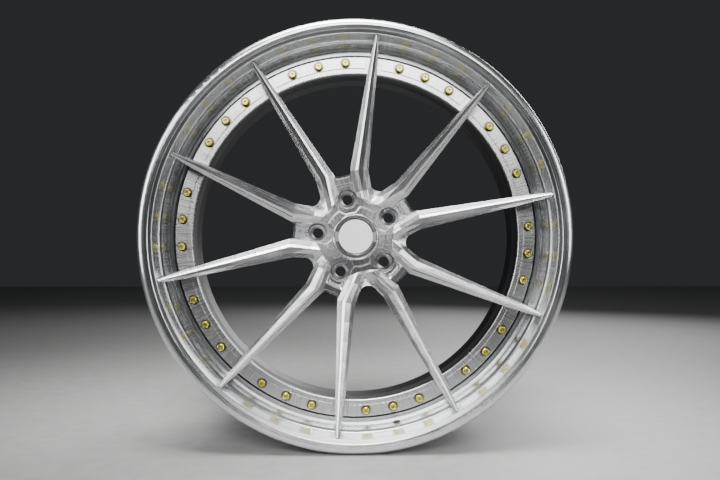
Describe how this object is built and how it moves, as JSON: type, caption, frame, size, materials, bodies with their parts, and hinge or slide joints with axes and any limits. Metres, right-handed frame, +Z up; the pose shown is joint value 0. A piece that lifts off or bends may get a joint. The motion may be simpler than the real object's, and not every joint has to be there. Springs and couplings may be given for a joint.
{
  "type": "forged wheel rim",
  "caption": "Bolted three-piece forged wheel: a spoked centre with paired spokes, a stepped polished outer lip, an inner barrel and a pull-off centre cap.",
  "frame": {"origin": "middle of the rim, on the axle, halfway between the outer faces of the two tyre flanges", "axes": "the axle lies along Y with the street side towards -Y and the mounting face looking along +Y; +Z is up and the wheel stands on its edge"},
  "size_m": [0.5938, 0.2926, 0.5936],
  "materials": {
    "brushed_centre": "bare machined and finely brushed, uncoated",
    "polished_lip": "turned and polished",
    "machined_barrel": "spun, satin",
    "sealant": "matt silicone",
    "cap_metal": "fine turned",
    "cap_insert": "plain pale satin face without any mark",
    "black_foam": "matt adhesive foam",
    "black_rubber": "smooth rubber",
    "gold_plating": "yellow passivated plating",
    "plain_steel": "plain zinc"
  },
  "bodies": {
    "wheel": {"wheel_centre": "brushed_centre", "outer_lip": "polished_lip", "inner_barrel": "machined_barrel", "rim_seal": "sealant", "bolts_window_1": "gold_plating", "bolts_window_2": "gold_plating", "bolts_window_3": "gold_plating", "bolts_window_4": "gold_plating", "bolts_window_5": "gold_plating", "bolts_window_6": "gold_plating", "bolts_window_7": "gold_plating", "bolts_window_8": "gold_plating", "bolts_window_9": "gold_plating", "bolts_window_10": "gold_plating", "washers_window_1": "plain_steel", "washers_window_2": "plain_steel", "washers_window_3": "plain_steel", "washers_window_4": "plain_steel", "washers_window_5": "plain_steel", "washers_window_6": "plain_steel", "washers_window_7": "plain_steel", "washers_window_8": "plain_steel", "washers_window_9": "plain_steel", "washers_window_10": "plain_steel", "nuts_window_1": "plain_steel", "nuts_window_2": "plain_steel", "nuts_window_3": "plain_steel", "nuts_window_4": "plain_steel", "nuts_window_5": "plain_steel", "nuts_window_6": "plain_steel", "nuts_window_7": "plain_steel", "nuts_window_8": "plain_steel", "nuts_window_9": "plain_steel", "nuts_window_10": "plain_steel"},
    "centre_cap": {"cap_body": "cap_metal", "cap_insert": "cap_insert", "cap_pad": "black_foam", "cap_o_ring": "black_rubber"}
  },
  "joints": [
    {"name": "cap_pull", "type": "slide", "parent": "wheel", "child": "centre_cap", "axis": [0, -1, 0], "range_m": [0, 0.03]}
  ]
}
